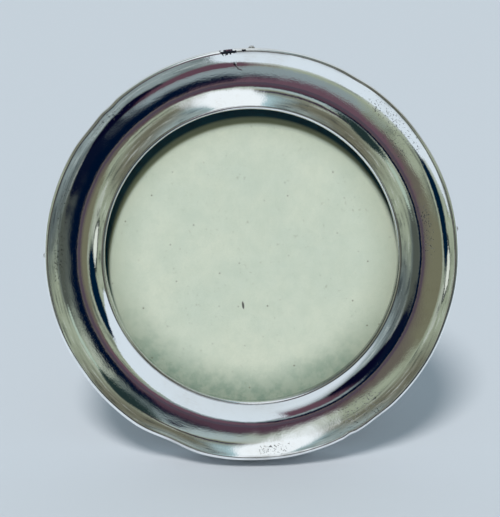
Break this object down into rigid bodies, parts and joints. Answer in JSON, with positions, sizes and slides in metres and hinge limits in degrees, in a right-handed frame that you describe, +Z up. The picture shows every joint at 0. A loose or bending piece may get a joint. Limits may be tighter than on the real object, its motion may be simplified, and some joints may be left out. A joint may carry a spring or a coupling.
{
  "type": "round photo frame",
  "caption": "Round table photo frame: coved silver front pinned over a turned oak ring, glazed, with an oak back held by turn buttons and a hinged easel strut.",
  "frame": {"origin": "middle of the footprint, on the surface that the frame stands on", "axes": "+Z up, the picture faces -Y and leans back towards +Y, +X to the right of someone who looks at the picture"},
  "size_m": [0.1175, 0.0518, 0.1148],
  "materials": {
    "silver": "polished",
    "oak": "satin",
    "glass": "polished",
    "pale_card": "matte",
    "strawboard": "matte",
    "brass": "satin",
    "steel": "satin"
  },
  "bodies": {
    "frame": {"silver_front": "silver", "rim_pins": "silver", "oak_ring": "oak", "glass": "glass", "picture_card": "pale_card", "packing_board": "strawboard", "back_panel": "oak", "button_screws": "brass", "hinge_plate": "brass", "plate_screws": "brass", "hinge_pin": "steel"},
    "easel_strut": {"strut_leaf": "brass", "strut": "oak", "strut_rivets": "brass"},
    "button_top": {"turn_button_top": "brass"},
    "button_right": {"turn_button_right": "brass"},
    "button_left": {"turn_button_left": "brass"}
  },
  "joints": [
    {"name": "strut_fold", "type": "hinge", "parent": "frame", "child": "easel_strut", "pos_m": [0, 0.00894, 0.08254], "axis": [-1, 0, 0], "range_deg": [0, 25]},
    {"name": "button_top_turn", "type": "hinge", "parent": "frame", "child": "button_top", "pos_m": [0, 0.01362, 0.10676], "axis": [0, 0.9659, -0.2588], "range_deg": [-90, 90]},
    {"name": "button_right_turn", "type": "hinge", "parent": "frame", "child": "button_right", "pos_m": [0.04555, -0.0068, 0.03055], "axis": [0, 0.9659, -0.2588], "range_deg": [-90, 90]},
    {"name": "button_left_turn", "type": "hinge", "parent": "frame", "child": "button_left", "pos_m": [-0.04555, -0.0068, 0.03055], "axis": [0, 0.9659, -0.2588], "range_deg": [-90, 90]}
  ]
}
